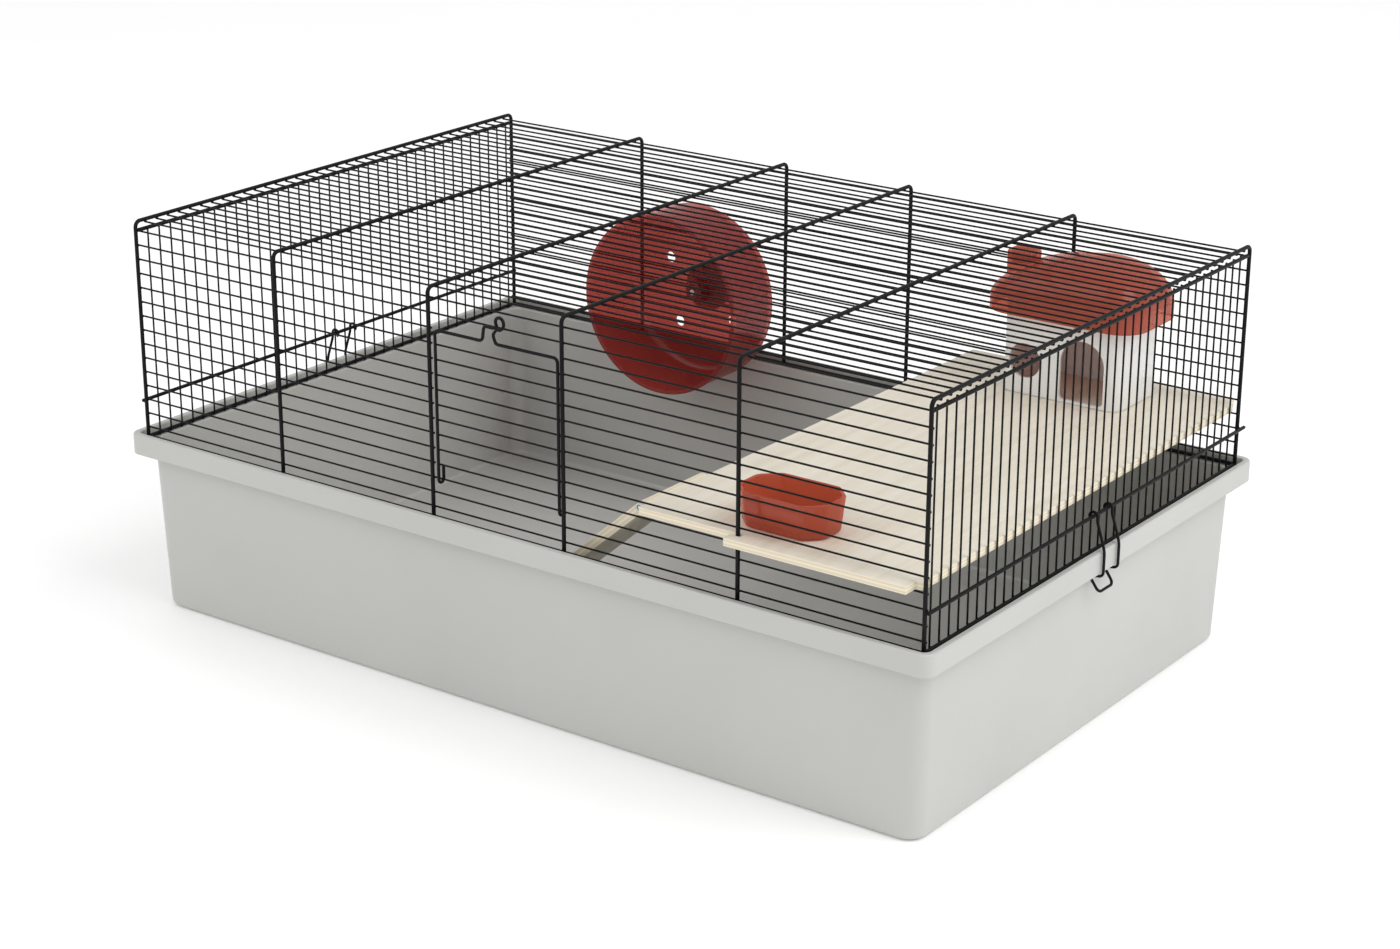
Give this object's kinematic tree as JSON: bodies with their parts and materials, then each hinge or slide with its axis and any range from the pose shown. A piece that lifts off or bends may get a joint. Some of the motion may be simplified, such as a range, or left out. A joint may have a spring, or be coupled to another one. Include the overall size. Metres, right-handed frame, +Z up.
{
  "type": "hamster cage",
  "caption": "Hamster cage: deep plastic tray, lift-off wire top with drop-down door and clips, running wheel, shelf with ramp, house and food bowl.",
  "frame": {"origin": "middle of the tray's underside, on the surface the cage stands on", "axes": "+Z up, +X along the length towards the shelf, -Y towards the door"},
  "size_m": [0.621, 0.396, 0.2653],
  "materials": {
    "tray": "satin",
    "wire": "satin",
    "plywood": "matte",
    "red_plastic": "gloss",
    "white_plastic": "gloss",
    "steel": "satin"
  },
  "bodies": {
    "tray": {"tray_base": "tray"},
    "wire_top": {"front_grille": "wire", "back_grille": "wire", "top_grille": "wire", "left_end_grille": "wire", "right_end_grille": "wire", "left_pivot_bar": "wire", "right_pivot_bar": "wire", "shelf_board": "plywood", "ramp_pin": "steel", "ramp_eye_front": "steel", "ramp_eye_rear": "steel", "wheel_axle": "steel", "wheel_cap": "red_plastic", "wheel_bracket": "red_plastic", "wheel_keeper": "red_plastic"},
    "door": {"front_door": "wire"},
    "left_clip": {"clip_left": "wire"},
    "right_clip": {"clip_right": "wire"},
    "wheel": {"wheel_drum": "red_plastic"},
    "ramp": {"ramp_board": "plywood"},
    "house": {"house_walls": "white_plastic"},
    "roof": {"house_roof": "red_plastic"},
    "bowl": {"food_bowl": "red_plastic"}
  },
  "joints": [
    {"name": "top_lift", "type": "slide", "parent": "tray", "child": "wire_top", "axis": [0, 0, 1], "range_m": [0, 0.25]},
    {"name": "door_hinge", "type": "hinge", "parent": "wire_top", "child": "door", "pos_m": [0, -0.18685, 0.14378], "axis": [1, 0, 0], "range_deg": [0, 125]},
    {"name": "left_clip_hinge", "type": "hinge", "parent": "wire_top", "child": "left_clip", "pos_m": [-0.30125, 0, 0.143], "axis": [0, 1, 0], "range_deg": [0, 100]},
    {"name": "right_clip_hinge", "type": "hinge", "parent": "wire_top", "child": "right_clip", "pos_m": [0.30125, 0, 0.143], "axis": [0, -1, 0], "range_deg": [0, 100]},
    {"name": "wheel_spin", "type": "hinge", "parent": "wire_top", "child": "wheel", "pos_m": [-0.114, 0.15, 0.166], "axis": [0, 1, 0], "continuous": true},
    {"name": "ramp_swing", "type": "hinge", "parent": "wire_top", "child": "ramp", "pos_m": [0.0992, -0.148, 0.1564], "axis": [0, 1, 0], "range_deg": [0, 40]},
    {"name": "house_lift", "type": "slide", "parent": "wire_top", "child": "house", "axis": [0, 0, 1], "range_m": [0, 0.0035]},
    {"name": "roof_lift", "type": "slide", "parent": "house", "child": "roof", "axis": [0, 0, 1], "range_m": [0, 0.0035]},
    {"name": "bowl_lift", "type": "slide", "parent": "wire_top", "child": "bowl", "axis": [0, 0, 1], "range_m": [0, 0.06]}
  ]
}
